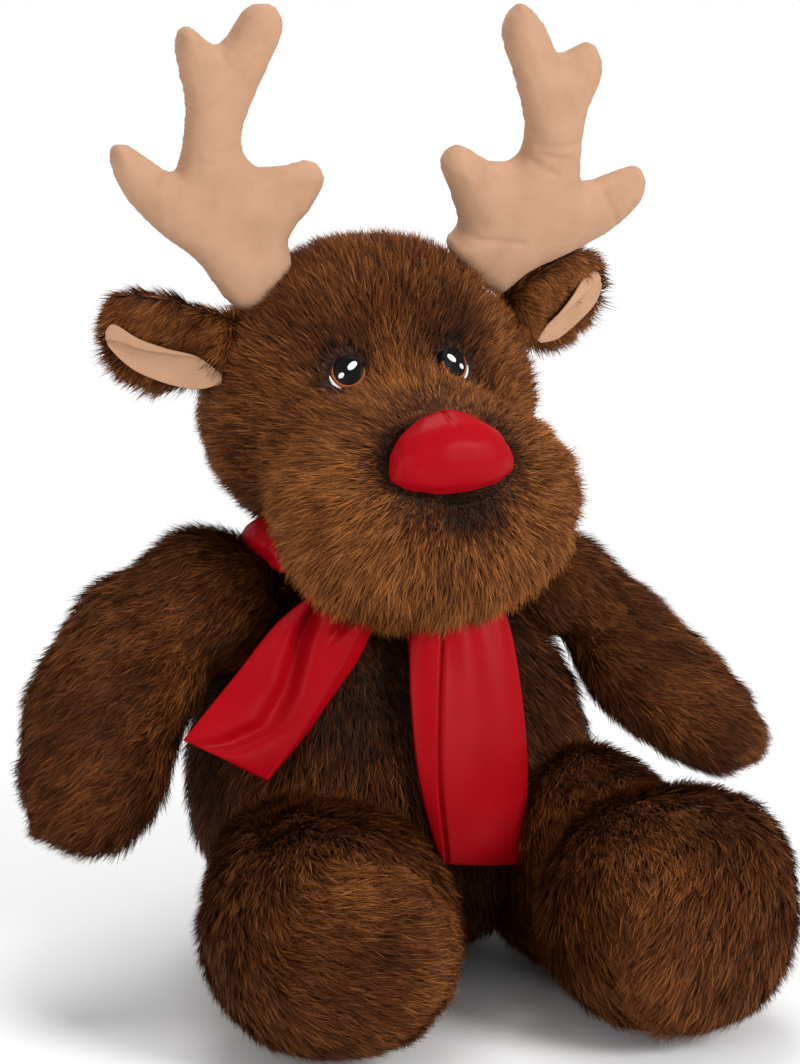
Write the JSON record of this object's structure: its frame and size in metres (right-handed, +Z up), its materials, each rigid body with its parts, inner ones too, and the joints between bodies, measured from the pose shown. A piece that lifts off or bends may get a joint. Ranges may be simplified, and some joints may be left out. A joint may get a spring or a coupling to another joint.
{
  "type": "plush deer",
  "caption": "Seated plush deer with brown fur, suede antlers and ears, a satin nose and a satin scarf; head, limbs, ears, antlers, tail and scarf ends move.",
  "frame": {"origin": "centre of the seat's flat underside, between the hips, on the surface it sits on", "axes": "+Z up, the toy faces -Y, +X towards its own left"},
  "size_m": [0.3954, 0.3321, 0.4998],
  "materials": {
    "fur": "long pile",
    "muzzle_fur": "long pile",
    "suede": "short nap",
    "satin": "satin",
    "filling": "loose fibre",
    "eye_black": "glossy thread",
    "eye_brown": "thread",
    "thread": "thread"
  },
  "bodies": {
    "torso": {"torso_front_panel": "fur", "torso_back_panel": "fur", "seat_pellet_bag": "filling", "torso_stuffing": "filling", "scarf_knot": "satin", "scarf_neck_band": "satin"},
    "neck": {"neck_cover": "fur", "neck_stuffing": "filling"},
    "head": {"face_panel": "fur", "head_back_panel": "fur", "head_stuffing": "filling", "muzzle_cover": "muzzle_fur", "muzzle_stuffing": "filling", "mouth_stitch": "thread", "nose_cover": "satin", "nose_stuffing": "filling", "right_eye_patch": "eye_black", "right_eye_rim": "eye_brown", "left_eye_patch": "eye_black", "left_eye_rim": "eye_brown"},
    "tail": {"tail_cover": "fur", "tail_stuffing": "filling"},
    "right_scarf_end": {"right_scarf_end": "satin"},
    "left_scarf_end": {"left_scarf_end": "satin"},
    "right_antler": {"right_antler_front_panel": "suede", "right_antler_back_panel": "suede", "right_antler_stuffing": "filling"},
    "left_antler": {"left_antler_front_panel": "suede", "left_antler_back_panel": "suede", "left_antler_stuffing": "filling"},
    "right_ear": {"right_ear_fur": "fur", "right_ear_lining": "suede"},
    "left_ear": {"left_ear_fur": "fur", "left_ear_lining": "suede"},
    "right_arm": {"right_arm_front_panel": "fur", "right_arm_back_panel": "fur", "right_arm_stuffing": "filling"},
    "left_arm": {"left_arm_front_panel": "fur", "left_arm_back_panel": "fur", "left_arm_stuffing": "filling"},
    "right_leg": {"right_thigh_cover": "fur", "right_thigh_stuffing": "filling", "right_foot_sole": "fur", "right_foot_upper": "fur", "right_foot_stuffing": "filling"},
    "left_leg": {"left_thigh_cover": "fur", "left_thigh_stuffing": "filling", "left_foot_sole": "fur", "left_foot_upper": "fur", "left_foot_stuffing": "filling"}
  },
  "joints": [
    {"name": "head_turn", "type": "hinge", "parent": "torso", "child": "neck", "pos_m": [0, 0.025, 0.218], "axis": [0, 0, 1], "range_deg": [-15, 15], "stiffness_Nm_per_rad": 4},
    {"name": "head_nod", "type": "hinge", "parent": "neck", "child": "head", "pos_m": [0, 0.025, 0.218], "axis": [-1, 0, 0], "range_deg": [0, 10], "stiffness_Nm_per_rad": 6},
    {"name": "right_antler_sway", "type": "hinge", "parent": "head", "child": "right_antler", "pos_m": [-0.061, 0.046, 0.347], "axis": [0, -1, 0], "range_deg": [-5, 5], "stiffness_Nm_per_rad": 1},
    {"name": "left_antler_sway", "type": "hinge", "parent": "head", "child": "left_antler", "pos_m": [0.061, 0.046, 0.347], "axis": [0, 1, 0], "range_deg": [-5, 5], "stiffness_Nm_per_rad": 1},
    {"name": "right_ear_flop", "type": "hinge", "parent": "head", "child": "right_ear", "pos_m": [-0.083, 0.043, 0.317], "axis": [0, 1, 0], "range_deg": [-15, 4], "stiffness_Nm_per_rad": 0.3},
    {"name": "left_ear_flop", "type": "hinge", "parent": "head", "child": "left_ear", "pos_m": [0.083, 0.043, 0.317], "axis": [0, -1, 0], "range_deg": [-15, 4], "stiffness_Nm_per_rad": 0.3},
    {"name": "right_arm_swing", "type": "hinge", "parent": "torso", "child": "right_arm", "pos_m": [-0.082, 0.02, 0.182], "axis": [-1, 0, 0], "range_deg": [-12, 40], "stiffness_Nm_per_rad": 1.5},
    {"name": "left_arm_swing", "type": "hinge", "parent": "torso", "child": "left_arm", "pos_m": [0.082, 0.02, 0.182], "axis": [-1, 0, 0], "range_deg": [-12, 40], "stiffness_Nm_per_rad": 1.5},
    {"name": "right_leg_spread", "type": "hinge", "parent": "torso", "child": "right_leg", "pos_m": [-0.07, -0.032, 0.057], "axis": [0, 0, -1], "range_deg": [-2, 15], "stiffness_Nm_per_rad": 3},
    {"name": "left_leg_spread", "type": "hinge", "parent": "torso", "child": "left_leg", "pos_m": [0.07, -0.032, 0.057], "axis": [0, 0, 1], "range_deg": [-2, 15], "stiffness_Nm_per_rad": 3},
    {"name": "tail_wag", "type": "hinge", "parent": "torso", "child": "tail", "pos_m": [0, 0.084, 0.05], "axis": [0, 0, 1], "range_deg": [-15, 15], "stiffness_Nm_per_rad": 0.15},
    {"name": "right_scarf_end_lift", "type": "hinge", "parent": "torso", "child": "right_scarf_end", "pos_m": [-0.027, -0.034, 0.188], "axis": [-1, 0, 0], "range_deg": [0, 35]},
    {"name": "left_scarf_end_swing", "type": "hinge", "parent": "torso", "child": "left_scarf_end", "pos_m": [-0.006, -0.046, 0.168], "axis": [0, 1, 0], "range_deg": [0, 15]}
  ]
}
